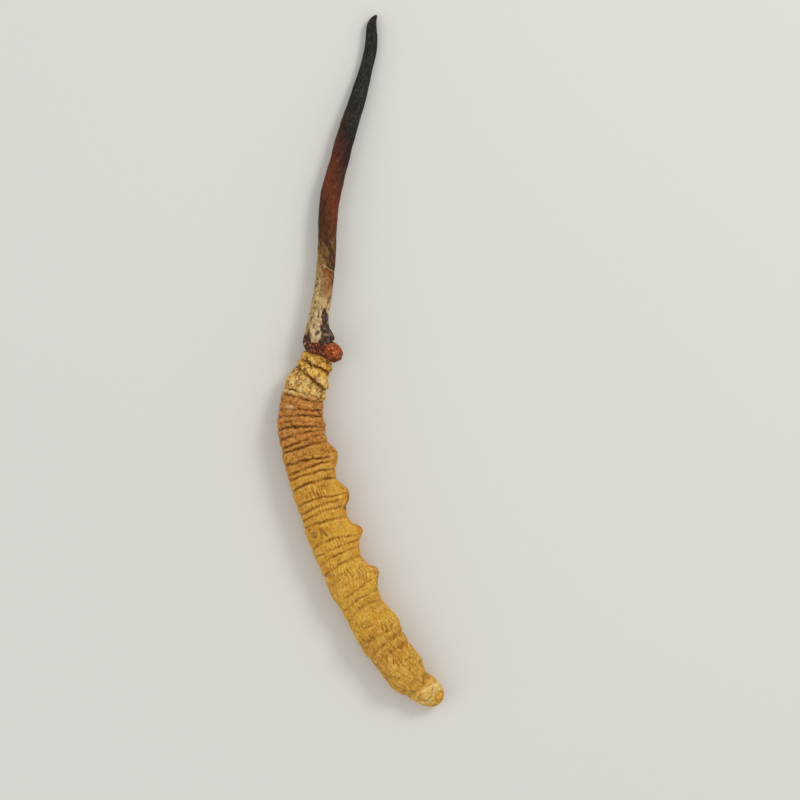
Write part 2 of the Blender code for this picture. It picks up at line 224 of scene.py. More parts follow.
RUSTY_SPOTS = (
    (-4.69, -2.19, 0.22), (-4.69, -0.19, 0.2), (-7.9, -1.8, 0.3), (-9.38, -7.88, 0.5),
    (-9.6, -8.6, 0.4), (-6.25, -10.19, 0.26), (-3.94, -26.69, 0.4), (1.19, -35.03, 0.3),
    (2.84, -35.44, 0.26), (-6.84, -6.6, 0.24), (-5.8, -6.0, 0.28), (-4.3, -15.6, 0.45),
    (-3.98, -14.4, 0.3), (-1.75, -18.4, 0.22), (1.6, -26.4, 0.3), (-5.8, -21.6, 0.5),
    (-4.6, -21.4, 0.42), (-7.05, -10.85, 0.16), (-5.4, -3.8, 0.16), (-1.58, -16.5, 0.26),
    (-1.5, -17.3, 0.28), (1.95, -26.5, 0.35), (2.2, -27.6, 0.25), (-0.1, -20.7, 0.22),
)
YELLOW_SPOTS = (
    (-5.25, 0.55, 0.3), (-4.45, 0.25, 0.22), (-4.75, -1.4, 0.3), (-5.75, -1.9, 0.35),
    (-5.45, -3.85, 0.26), (-7.0, -0.3, 0.35), (7.75, -41.62, 0.25),
)
ORANGE_TAIL = ((9.75, -42.0, 0.75),)
TAIL_RIM = (  # pale lines round the tail segment
    ((9.12, -41.06), (9.19, -41.62), (8.94, -42.19), (8.5, -42.6), (8.25, -42.75)),
    ((7.68, -41.4), (8.45, -40.8), (9.35, -40.4), (9.75, -40.6)),
    ((8.4, -41.2), (8.85, -40.95), (9.12, -41.06)),
)

ORANGE_CENTRE, ORANGE_RADIUS = (-3.33, 1.32), 1.02  # the head's bright bump, from above
CRUST_EDGE = -6.25  # the head's dark crust lies at smaller x than this

# The top edge of the dark crust on the left of the stalk's foot: x, y.
CRUST_TOP = ((-7.4, 2.9), (-7.1, 3.1), (-6.6, 3.3), (-6.35, 3.1), (-6.2, 2.5), (-6.0, 1.9),
             (-5.8, 1.0), (-5.0, -2.0))

# The left edge of the dark streak down the stalk's foot: height in the frame, and x.
STREAK_EDGE = ((1.6, -5.6), (2.2, -5.3), (2.6, -5.08), (3.75, -4.98), (5.0, -4.94),
               (5.8, -4.84), (6.1, -4.66), (6.5, -4.4), (6.8, 9.0))

# The streak's right edge near its top: height in the frame, and x.
STREAK_RIGHT = ((5.1, -3.0), (5.5, -3.98), (6.0, -4.2), (6.6, -4.42))

# Cracks, stains, the pale thread across and pits on the stalk's foot.
FOOT_CRACKS = (
    ((-6.45, 3.9), (-6.56, 3.0), (-6.25, 2.45)),
    ((-5.55, 3.31), (-5.2, 3.62)),
)
FOOT_STAINS = ((-4.2, 10.9, 0.42), (-3.95, 10.4, 0.48), (-3.95, 9.8, 0.38),
               (-4.0, 9.1, 0.34), (-4.25, 8.4, 0.3))
FOOT_RIDGE = (((-4.75, 11.92), (-4.5, 11.84), (-4.25, 11.65), (-3.7, 11.28), (-3.05, 10.95)),)
FOOT_PITS = ((-4.51, 6.3, 0.16), (-5.35, 3.45, 0.23), (-3.81, 11.52, 0.18), (-5.42, 10.2, 0.1),
             (-5.64, 9.3, 0.12), (-4.7, 3.1, 0.12))

# ---- curves and grids

def spline(knots, values, at):
    """Reads a smooth curve, a natural cubic through the knots, at the given places."""
    knots = np.asarray(knots, float)
    values = np.asarray(values, float)
    step = np.diff(knots)
    slope = np.diff(values) / step
    size = len(knots)
    matrix = np.eye(size)
    rhs = np.zeros(size)
    for i in range(1, size - 1):
        matrix[i, i - 1:i + 2] = step[i - 1], 2 * (step[i - 1] + step[i]), step[i]
        rhs[i] = 6 * (slope[i] - slope[i - 1])
    bend = np.linalg.solve(matrix, rhs)
    i = np.clip(np.searchsorted(knots, at) - 1, 0, size - 2)
    past = at - knots[i]
    linear = slope[i] - step[i] * (2 * bend[i] + bend[i + 1]) / 6
    cubic = (bend[i + 1] - bend[i]) / (6 * step[i])
    return values[i] + past * (linear + past * (bend[i] / 2 + past * cubic))


def path_reader(points):
    """Makes a function that gives the place and direction at a distance along a smooth path."""
    points = np.asarray(points, float)
    chords = np.r_[0.0, np.cumsum(np.linalg.norm(np.diff(points, axis=0), axis=1))]
    fine = np.linspace(0.0, chords[-1], 800)
    curve = np.stack([spline(chords, column, fine) for column in points.T], axis=1)
    length = np.r_[0.0, np.cumsum(np.linalg.norm(np.diff(curve, axis=0), axis=1))]
    direction = np.gradient(curve, length, axis=0)

    def read(distance):
        place = np.stack([np.interp(distance, length, c) for c in curve.T], axis=1)
        ahead = np.stack([np.interp(distance, length, c) for c in direction.T], axis=1)
        return place, ahead / np.linalg.norm(ahead, axis=1, keepdims=True)

    return read, length[-1]


def around(belly, flank, back, angle):
    """A value on the belly side, on both flanks and on the back, blended round the section."""
    under = 0.5 * (belly + back)
    mean = (belly + flank + back + under) / 4
    return (mean + (belly - back) / 2 * np.cos(angle) + (flank - under) / 2 * np.sin(angle)
            + (belly - flank + back - under) / 4 * np.cos(2 * angle))


def stations(edges, spacing, least):
    """Shares out rings between neighbouring edges: (number of the gap, share of it)."""
    found = []
    for gap in range(len(edges) - 1):
        count = max(least, round((edges[gap + 1] - edges[gap]) / spacing))
        found += [(gap, step / count) for step in range(count)]
    return found + [(len(edges) - 2, 1.0)]


def unit_sphere(rings, segments):
    """A sphere with this many rings between its poles, and the places of its vertices."""
    shape = bmesh.new()
    bmesh.ops.create_uvsphere(shape, u_segments=segments, v_segments=rings + 1, radius=1.0)
    return shape, np.array([vertex.co for vertex in shape.verts])


def sphere_grid(rings, segments):
    """A sphere, and each vertex's ring and angle."""
    shape, places = unit_sphere(rings, segments)
    ring = np.rint(np.arccos(np.clip(places[:, 2], -1, 1)) / math.pi * (rings + 1)).astype(int)
    return shape, ring, np.arctan2(places[:, 1], places[:, 0])


def wrapped(angle):
    return (angle + math.pi) % (2 * math.pi) - math.pi


def eased(low, high, value):
    share = np.clip((value - low) / (high - low), 0, 1)
    return share * share * (3 - 2 * share)


def read_table(table, at):
    """The second column of the table where its first one has this value."""
    return np.interp(at, *np.array(table).T)


def before_edge(flat, edge):
    """How far each place lies on the neck's side of an edge line that runs across."""
    return read_table(edge, flat[:, 0]) - flat[:, 1]


# ---- unevenness

RANDOM = np.random.default_rng(11)
SHUFFLED = RANDOM.permutation(256)
SLOPES = RANDOM.normal(size=(256, 3))
SLOPES /= np.linalg.norm(SLOPES, axis=1, keepdims=True)
CENTRES = RANDOM.uniform(size=(256, 3))
TONES = RANDOM.uniform(size=256)


def scattered(cell):
    """A number from 0 to 255 for each cell of a grid, the same each time."""
    x, y, z = cell.T
    return SHUFFLED[(SHUFFLED[(SHUFFLED[x & 255] + y) & 255] + z) & 255]


def uneven(points, seed=0.0):
    """Smooth unevenness between about -1 and 1 at these points, one bump per unit."""
    points = points + seed * np.array([1.0, 1.7, -0.6])
    cell = np.floor(points).astype(int)
    inside = points - cell
    ease = inside ** 3 * (inside * (inside * 6 - 15) + 10)
    total = np.zeros(len(points))
    for corner in itertools.product((0, 1), repeat=3):
        slope = SLOPES[scattered(cell + corner)]
        weight = np.where(corner, ease, 1 - ease).prod(axis=1)
        total += weight * ((inside - corner) * slope).sum(axis=1)
    return 1.8 * total


def grains(points, seed=0.0):
    """Grains about one unit wide: the distance to the grain's middle, how far its border
    is, and a tone from 0 to 1 that is its own."""
    points = points + seed * np.array([1.0, 1.7, -0.6])
    cell = np.floor(points).astype(int)
    nearest = np.full(len(points), 9.0)
    second = nearest.copy()
    tone = np.zeros(len(points))
    for step in itertools.product((-1, 0, 1), repeat=3):
        number = scattered(cell + step)
        away = np.linalg.norm(cell + step + CENTRES[number] - points, axis=1)
        closer = away < nearest
        second = np.where(closer, nearest, np.minimum(second, away))
        tone = np.where(closer, TONES[number], tone)
        nearest = np.where(closer, away, nearest)
    return nearest, second - nearest, tone


def shared_unevenness(points):
    """The unevenness that the solids have too."""
    return np.array([noise.noise(Vector(point)) for point in points])


def roughness(distance, angle, size, height):
    """Uneven offsets of about this height, in patches of this size, over a round body."""
    round_about = LUMP_RADIUS * np.column_stack([np.cos(angle), np.sin(angle)])
    return height * shared_unevenness(np.column_stack([distance, round_about]) / size)


def on_round(distance, angle, radius, along, across):
    """Points for unevenness on a round body, with this many bumps per millimetre each way."""
    return np.column_stack([distance * along, radius * across * np.cos(angle),
                            radius * across * np.sin(angle)])


def on_skin(distance, angle, along, across):
    return on_round(distance, angle, SKIN_RADIUS, along, across)


def on_stalk(distance, angle, along, across):
    return on_round(distance, angle, STALK_RADIUS, along, across)


def warped(points, amount, scale, seeds):
    """The points shifted unevenly in each direction."""
    return points + amount * np.column_stack([uneven(points * scale, seed) for seed in seeds])


def ahead_of(end, distance):
    """1 on the neck's side of a stretch of the body, fading to 0 over it."""
    return 1 - eased(*end, distance)


def thin_line(values, width):
    """1 where the values are zero and 0 away from there."""
    return np.exp(-(values / width) ** 2)


def near_spots(flat, spots):
    """1 at the middle of each spot, falling off around it."""
    found = np.zeros(len(flat))
    for x, y, radius in spots:
        away = ((flat - (x, y)) ** 2).sum(axis=1)
        found = np.maximum(found, np.exp(-away / radius ** 2))
    return found


def near_lines(flat, lines, width):
    """1 on each line, falling off beside it."""
    found = np.zeros(len(flat))
    for line in lines:
        for start, end in zip(np.array(line), np.array(line[1:])):
            run = end - start
            share = np.clip((flat - start) @ run / (run @ run), 0, 1)
            away = np.linalg.norm(flat - start - share[:, None] * run, axis=1)
            found = np.maximum(found, thin_line(away, width))
    return found


# ---- the larva's skin

def leg_offset(distance, angle):
    """How far the belly legs and the stubs of the front legs stand out of the skin."""
    offset = np.zeros_like(distance)
    for side in (1, -1):
        across = wrapped(angle - side * LEG_ANGLE) / LEG_SPREAD
        for centre, before, after, height in BELLY_LEGS:
            along = distance - centre
            along = np.where(along < 0, along / before, along / after)
            outline = np.exp(-LEG_DROP * np.abs(along) ** LEG_BLUNT - across ** 2)
            offset += LEG_RAISE * height * outline
        for centre, radius, height in FRONT_LEGS:
            along = (distance - centre) / radius
            offset += height * np.exp(-along ** 2 - across ** 2)
    return offset


def crease_wander(distance, angle):
    """How far the creases stray from their smooth lines."""
    front = ahead_of(FRONT_END, distance)
    wander = 0.1 * uneven(on_skin(distance, angle, 0.3, 0.55), 3.0)
    wander += 0.09 * uneven(on_skin(distance, angle, 0.9, 1.7), 5.0)
    return wander + 0.06 * front * uneven(on_skin(distance, angle, 1.8, 3.2), 6.0)


def folds(distance, angle, legs):
    """How far the grooves pull the skin in, how much painted shade each point of a groove gets on
    its crease and in its hollow, and how far it is on the lips beside the crease, which get a
    painted highlight."""
    front = ahead_of(FRONT_END, distance)
    wander = crease_wander(distance, angle)
    strength = np.clip(0.88 + 1.0 * uneven(on_skin(distance, angle, 0.5, 0.7), 8.0), 0.45, 1.25)
    offset, dark, shade, lip = np.zeros((4, len(distance)))
    rear = eased(31.0, 36.0, distance)
    width = CREASE_WIDTH * (1 + 0.1 * front + 1.2 * rear)
    deeper = (0.2 + 0.8 * np.abs(np.sin(angle))) * (1 - 0.5 * rear)
    for back, flank, belly, depth in GROOVES:
        away = np.abs(distance + wander - around(belly, flank, back, angle))
        offset -= depth * np.clip(1 - away / GROOVE_REACH, 0, 1) ** 2
        # The crease and its hollow get painted shade, and the lips beside the crease a painted
        # highlight.
        crease = thin_line(away, width) * strength
        lip = np.maximum(lip, thin_line(away - 0.32, 0.12) * strength)
        hollow = thin_line(away, 0.22 + 0.18 * rear) * strength
        offset -= depth * deeper * (0.45 * crease + 0.18 * hollow * (1 + front))
        dark = np.maximum(dark, crease * (0.3 + 2.6 * depth))
        shade = np.maximum(shade, hollow * (0.1 + 2.8 * depth))
    edge = EDGE_FOLD + (1 - EDGE_FOLD) * np.abs(np.sin(angle))
    fade = np.clip(1 - legs, LEAST_FOLD, 1)
    tint = fade * (1 - PALER_REAR * eased(21.0, 33.0, distance)) * (1 - 0.35 * rear)
    tint *= 0.7 + 0.3 * front
    return (offset + 0.03 * lip * front) * edge * fade, dark * tint, shade * tint, lip * tint


def crinkled_share(distance):
    share = np.zeros_like(distance)
    for start, end, strength in CRINKLED:
        inside = eased(start, start + 0.3, distance) - eased(end - 0.3, end, distance)
        share = np.maximum(share, strength * inside)
    return share


def wrinkles(distance, angle):
    """Fine relief between the folds, from -1 in its cracks to 1 on its ridges, and how
    much of it is pleats along the body."""
    def waves(along, across, seed, ahead=0.0, turn=0.0):
        return uneven(on_skin(distance + ahead, angle + turn, along, across), seed)

    lobes = crinkled_share(distance)
    patchy = eased(-0.3, 0.3, waves(0.6, 0.7, 29.0))
    stroked = np.maximum(lobes, 0.15 + 0.55 * eased(14.5, 17.0, distance))
    rear = eased(23.0, 29.0, distance)
    stroked *= 0.35 + 0.4 * rear + (0.65 - 0.35 * rear) * patchy
    loose = 3.0 + 6.0 * eased(26.0, 34.0, distance)
    phase = loose * waves(0.5, 0.5, 11.0)
    bent = 1.6 + 2.2 * eased(37.0, 40.0, distance)
    phase += bent * waves(1.3, 1.6, 17.0)
    pleats = 1 - 2 * (0.5 - 0.5 * np.cos(PLEATS * angle + phase)) ** 1.6
    pleats *= 0.75 + 0.7 * waves(1.6, 1.8, 19.0)
    bumpy = eased(37.4, 39.4, distance)
    pleats *= 1 - 0.45 * bumpy
    strokes = waves(1.2, 4.4, 20.0, turn=0.02 * phase)
    bend = 0.35 * waves(0.5, 0.5, 13.0)
    rings = thin_line(waves(2.4, 0.45, 14.0, bend), 0.12)
    border = grains(on_skin(distance + bend, angle + 0.03 * phase, 1.8, 2.8), 23.0)[1]
    crinkle = thin_line(border, 0.16)
    lumps = waves(2.2, 2.2, 26.0)
    front = ahead_of(ROUGH_END, distance)
    fine = (0.75 * pleats + 0.8 * strokes) * stroked + (0.35 + 0.45 * front) * lumps
    fine += 0.9 * bumpy * waves(1.9, 2.6, 88.0, bend, turn=0.03 * phase)
    fine += 0.55 * front * waves(3.8, 2.4, 27.0)
    fine -= 0.55 * rings * (1 - 0.6 * lobes) + crinkle * (0.15 + 0.4 * lobes * patchy)
    return np.clip(fine + 0.15, -1.1, 1.3), stroked


def swirl(flat):
    """Wrinkles that run round the dimple on the rear, and how far they show."""
    x, y, reach, gap = SWIRL
    away = np.linalg.norm(flat - (x, y), axis=1)
    wobble = 4.5 * uneven(0.9 * in_plane(flat), 59.0) + 2.6 * uneven(2.0 * in_plane(flat), 62.0)
    return np.cos(2 * math.pi * away / gap + wobble), np.exp(-(away / reach) ** 4)


def crumbs(distance, angle):
    """The crumbly neck's relief, cracks and tone, which fade out at the fourth fold."""
    share = ahead_of(NECK_END, distance)
    points = on_round(distance, angle, NECK_RADIUS, 1.0, 1.0)
    middle, border, tone = grains(1.45 * warped(points, 0.25, 1.3, (4, 6, 9)), 31.0)
    cracks = thin_line(border, 0.15) * eased(-0.35, 0.35, uneven(points * 0.9, 35.0))
    holes = eased(0.4, 0.62, uneven(points * 1.7, 33.0))
    fine = uneven(points * 4.0, 38.0)
    offset = 0.17 * (0.45 - middle) - 0.07 * cracks - 0.12 * holes + 0.04 * fine
    offset += 0.08 * uneven(points * 1.5, 40.0)
    return share * offset, share * np.maximum(cracks, holes), share * (tone - 0.5 + 0.5 * fine)


def in_plane(flat):
    return np.column_stack([flat, np.zeros(len(flat))])


def ragged_places(flat):
    """The places shifted unevenly, so that what is drawn on them gets ragged edges."""
    points = 3.4 * in_plane(flat)
    return flat + 0.09 * np.column_stack([uneven(points, 51.0), uneven(points, 57.0)])


def skin_marks(flat, angle):
    """The cracks, pits and stains that the skin has on its upper side."""
    up = eased(-0.3, 0.0, np.sin(angle))
    ragged = ragged_places(flat)
    broken = np.clip(1.05 + 0.9 * uneven(2.2 * in_plane(flat), 54.0), 0.3, 1.25)
    dark = np.maximum.reduce([near_lines(ragged, CRACKS, 0.12), near_spots(ragged, PITS),
                              0.6 * near_lines(ragged, FAINT_CRACKS, 0.1)])
    return {
        "dark": up * np.minimum(1, broken * dark),
        "pale": up * np.maximum(near_spots(ragged, PALE_SPOTS),
                                0.85 * near_lines(ragged, TAIL_RIM, 0.1)),
        "rusty": up * near_spots(ragged, RUSTY_SPOTS),
        "yellow": up * np.maximum(near_spots(ragged, YELLOW_SPOTS), near_spots(ragged, ORANGE_TAIL)),
    }


def body_grid():
    """A closed grid whose rings follow the grooves: the shape, each vertex's angle round
    the body and its distance from the neck, and which vertices close the two ends."""
    edges = [BODY_START] + [groove[1] for groove in GROOVES] + [BODY_END]
    by_ring = stations(edges, BODY_RING_SPACING, 4)
    shape, ring, angle = sphere_grid(len(by_ring), BODY_SEGMENTS)
    angle = angle + TOP_CROWDING * np.cos(angle)
    inner = np.clip(ring - 1, 0, len(by_ring) - 1)
    gap, share = np.array(by_ring)[inner].T
    gap = gap.astype(int)
    lines = [(BODY_START,) * 3] + [groove[:3] for groove in GROOVES] + [(BODY_END,) * 3]
    back, flank, belly = np.array(lines).T
    start = around(belly[gap], flank[gap], back[gap], angle)
    end = around(belly[gap + 1], flank[gap + 1], back[gap + 1], angle)
    smooth = start + share * (end - start)
    inside = eased(0.5, 1.4, smooth) - eased(46.8, 48.6, smooth)
    distance = smooth
    for _ in range(3):
        distance = smooth - inside * crease_wander(distance, angle)
    ends = (ring == 0) | (ring == len(by_ring) + 1)
    return shape, angle, distance, ends


def body_piece(material):
    shape, angle, distance, ends = body_grid()
    read, length = path_reader(BODY_LINE)
    place, ahead = read(np.clip(distance, 0, length))
    across = np.stack([-ahead[:, 1], ahead[:, 0]], axis=1)
    knots, belly, back = np.array(BODY_WIDTHS).T
    belly = spline(knots, belly, distance)
    back = spline(knots, back, distance)
    half_height = BODY_FLATNESS * 0.5 * (belly + back)
    past = np.clip((distance - BODY_END + TAIL_ROUND) / TAIL_ROUND, 0, 1)
    reach = np.where(ends, 0.0, np.sqrt(1 - past ** TAIL_BLUNT))
    legs = leg_offset(distance, angle)
    fold, crease, hollow, lip = folds(distance, angle, legs)
    plain = np.where(np.cos(angle) > 0, belly, back) + legs
    flat = place + across * (plain * np.cos(angle) * reach)[:, None]
    marks = skin_marks(flat, angle)
    fine, stroked = wrinkles(distance, angle)
    arcs, share = swirl(flat)
    share *= np.sin(angle) > 0
    tail = eased(45.7, 46.5, distance)
    solid = np.column_stack([flat, half_height * np.sin(angle) * reach])
    grainy = 1.1 * uneven(2.2 * solid, 91.0) + 0.8 * uneven(4.4 * solid, 93.0)
    fine = fine * (1 - 0.5 * share - 0.8 * tail) + 0.34 * arcs * share + grainy * tail
    stroked = stroked * (1 - 0.5 * share - 0.7 * tail)
    neck = ahead_of(NECK_END, distance)
    crumb_offset, cracks, crumb_tone = crumbs(distance, angle)
    swell = legs + fold + roughness(distance, angle, *SKIN_LUMPS)
    swell += FINE_RELIEF * fine * (1 - 0.7 * neck) + crumb_offset - 0.07 * marks["dark"]
    hidden = eased(0.05, 0.6, -before_edge(flat, NECK_EDGE)) * (distance < 3)
    swell -= 0.5 * hidden
    side = plain - legs + swell
    flat = place + across * (side * np.cos(angle) * reach)[:, None]
    height = half_height - BODY_SUNK + (half_height + swell) * np.sin(angle) * reach
    attributes = {
        "along": distance / BODY_END,
        "crease": np.clip(crease, 0, 1),
        "hollow": np.clip(hollow, 0, 1),
        "lip": np.clip(lip, 0, 1) * (1 - neck),
        "rough": ahead_of(ROUGH_END, distance),
        "neck": neck,
        "stroked": stroked * (1 - neck),
        "fine": fine * (1 - 0.7 * neck) + crumb_tone,
        "cracks": cracks,
        "leg": np.clip(legs, 0, 1),
        "place": on_skin(distance, angle, 1.0, 1.0),
        **marks,
    }
    return add_piece("body_skin", shape, np.column_stack([flat, height]), attributes, material)


# ---- the stalk and the head

def foot_start(distance, offset):
    """Moves the rings near the foot so that the first one follows the foot's edge."""
    first = read_table(FOOT_EDGE, offset + STALK_LINE[0][0]) - STALK_LINE[0][1]
    moved = first + distance * (FOOT_REACH - first) / FOOT_REACH
    return np.where(distance < FOOT_REACH, moved, distance)


def stalk_piece(material):
    read, length = path_reader(STALK_LINE)
    shape, ring, angle = sphere_grid(STALK_RINGS, STALK_SEGMENTS)
    share = np.clip(ring - 1, 0, STALK_RINGS - 1) / (STALK_RINGS - 1)
    ends = (ring == 0) | (ring == STALK_RINGS + 1)
    distance = length * np.sin(share * math.pi / 2) ** TIP_CROWDING
    foot_radius = read_table(STALK_RADII, length - distance)
    distance = foot_start(distance, foot_radius * np.cos(angle))
    tip = length - distance
    radius = read_table(STALK_RADII, tip)
    pale = eased(27.5, 31.5, tip - 1.2 * np.cos(angle))
    relief, crease, threads = stalk_relief(distance, angle, pale)
    place, ahead = read(distance)
    across = np.stack([ahead[:, 1], -ahead[:, 0]], axis=1)
    across /= np.linalg.norm(across, axis=1, keepdims=True)
    flat = place[:, :2] + across * (radius * np.cos(angle))[:, None]
    up = eased(0.0, 0.25, np.sin(angle))
    dark = np.maximum(near_lines(flat, FOOT_CRACKS, 0.1), near_spots(flat, FOOT_PITS))
    dark = up * np.clip(1.5 * dark, 0, 1)
    lumps = roughness((distance - FOOT_HIDDEN) / STALK_STRETCH, angle, *STALK_LUMPS)
    ridge = up * near_lines(flat, FOOT_RIDGE, 0.07)
    swell = (lumps + relief - 0.08 * dark + 0.07 * ridge) * np.clip(radius, 0, 1)
    reach = np.where(ends, 0.0, radius + swell)
    flat = place[:, :2] + across * (reach * np.cos(angle))[:, None]
    height = place[:, 2] + radius + reach * np.sin(angle)
    streak, rim = streak_share(flat)
    attributes = {
        "from_foot": distance,
        "side": np.cos(angle),
        "crease": np.clip(crease, 0, 1),
        "pits": dark,
        "ridge": ridge,
        "stain": up * near_spots(ragged_places(flat), FOOT_STAINS),
        "fine": relief / 0.05,
        "threads": threads,
        "streak": streak * eased(-0.6, -0.2, np.sin(angle)),
        "streak_rim": rim,
        "crust": eased(-0.06, 0.06, before_edge(ragged_places(flat), CRUST_TOP)),
        "place": on_stalk(distance, angle, 1.0, 1.0),
    }
    return add_piece("stalk", shape, np.column_stack([flat, height]), attributes, material)


def stalk_relief(distance, angle, pale):
    """The stalk's fibres with the flakes of its pale foot, the cracks between these, and
    threads that run slantwise."""
    twisted = angle + 0.22 * distance
    fibres = uneven(on_stalk(distance, twisted, 0.22, 2.6), 42.0)
    threads = thin_line(uneven(on_stalk(distance, twisted, 0.35, 2.6), 45.0), 0.14)
    fine = uneven(on_stalk(distance, angle, 2.2, 4.2), 47.0)
    points = on_stalk(distance, angle, 1.0, 1.0)
    middle, border, tone = grains(warped(points, 0.3, 1.4, (5, 7, 2)) * (1.2, 2.0, 2.0), 48.0)
    cracks = thin_line(border, 0.12) * eased(-0.4, 0.3, uneven(points * 0.9, 53.0))
    relief = 0.03 * fibres - 0.015 * threads * (1 - pale) + 0.014 * fine
    relief += pale * (0.06 * (0.45 - middle) + 0.03 * (tone - 0.5) - 0.045 * cracks)
    diagonal = on_stalk(distance, angle - 0.55 * distance, 0.8, 3.8)
    return relief, pale * cracks, uneven(diagonal, 81.0) + 0.6 * uneven(2.0 * diagonal, 83.0)


def streak_share(flat):
    """The dark streak down the right of the foot, and its rim along the left."""
    points = in_plane(flat)
    ragged = flat[:, 0] + 0.2 * uneven(points * 2.4, 71.0) + 0.12 * uneven(points * 5.0, 73.0)
    left = read_table(STREAK_EDGE, flat[:, 1])
    right = read_table(STREAK_RIGHT, flat[:, 1])
    inside = eased(-0.07, 0.07, ragged - left) * eased(-0.07, 0.07, right - flat[:, 0])
    return inside, thin_line(ragged - left - 0.12, 0.22)


def head_piece(material):
    shape, unit = unit_sphere(HEAD_SEGMENTS // 2 - 1, HEAD_SEGMENTS)
    patch, height = HEAD_UNEVENNESS
    swell = 1 + height * shared_unevenness(unit / patch)
    for direction, reach, height in HEAD_LUMPS:
        away = unit - np.array(direction) / np.linalg.norm(direction)
        swell += height * np.exp(-(away ** 2).sum(axis=1) / reach ** 2)
    points = unit * HEAD_SIZE
    middle, border, tone = grains(points * 3.5 + 0.4 * uneven(points * 3.0, 61.0)[:, None], 60.0)
    swell += 0.065 * (0.4 - middle) + 0.03 * uneven(points * 1.6, 64.0)
    axes = head_axes()
    flat = (unit * HEAD_SIZE * swell[:, None] @ axes + HEAD_CENTRE)[:, :2]
    over_neck = before_edge(flat, NECK_EDGE)
    under_foot = -before_edge(flat, FOOT_EDGE)
    swell *= 1 - 0.22 * eased(-0.05, 0.5, over_neck) * (flat[:, 0] < -3.4)
    swell *= 1 - 0.16 * eased(0.0, 0.5, under_foot)
    places = unit * HEAD_SIZE * swell[:, None] @ axes + HEAD_CENTRE
    orange_away = np.linalg.norm(flat - ORANGE_CENTRE, axis=1)
    up = eased(-0.2, 0.2, unit[:, 2])
    attributes = {
        "orange": up * (1 - eased(0.75, 1.15, orange_away / ORANGE_RADIUS + 0.3 * tone - 0.15)),
        "crust": 1 - eased(-0.3, 0.3, flat[:, 0] - CRUST_EDGE),
        "border": np.clip(border / 0.4, 0, 1),
        "tone": tone,
        "place": points,
    }
    return add_piece("head_capsule", shape, places, attributes, material)


def head_axes():
    """The head's own directions across the neck, along it and upwards."""
    ahead = path_reader(BODY_LINE)[0](np.array([0.8]))[1][0]
    return np.array([[-ahead[1], ahead[0], 0.0], [-ahead[0], -ahead[1], 0.0], [0.0, 0.0, 1.0]])


def add_piece(name, shape, places, attributes, material):
    """Makes an object of the shape with its vertices at these places, in millimetres."""
    places[:, 2] = np.maximum(places[:, 2], 0.0)
    mesh = bpy.data.meshes.new(name)
    shape.to_mesh(mesh)
    shape.free()
    mesh.vertices.foreach_set("co", (places * MM).ravel())
    mesh.update()
    if signed_volume(mesh, places) < 0:
        mesh.flip_normals()
    for key, values in attributes.items():
        values = np.asarray(values, np.float32)
        kind, field = ("FLOAT", "value") if values.ndim == 1 else ("FLOAT_VECTOR", "vector")
        layer = mesh.attributes.new(key, kind, "POINT")
        layer.data.foreach_set(field, values.ravel())
    mesh.shade_smooth()
    mesh.materials.append(material)
    piece = bpy.data.objects.new(name, mesh)
    bpy.context.scene.collection.objects.link(piece)
    return piece


def signed_volume(mesh, places):
    mesh.calc_loop_triangles()
    corners = np.empty(len(mesh.loop_triangles) * 3, np.int32)
    mesh.loop_triangles.foreach_get("vertices", corners)
    a, b, c = places[corners.reshape(-1, 3)].transpose(1, 0, 2)
    return np.einsum("ij,ij->", a, np.cross(b, c))


# ---- materials

def linear(code):
    """The linear colour of a colour code such as c4922f."""
    levels = [int(code[i:i + 2], 16) / 255 for i in (0, 2, 4)]
    return (*[v / 12.92 if v <= 0.04045 else ((v + 0.055) / 1.055) ** 2.4 for v in levels], 1.0)


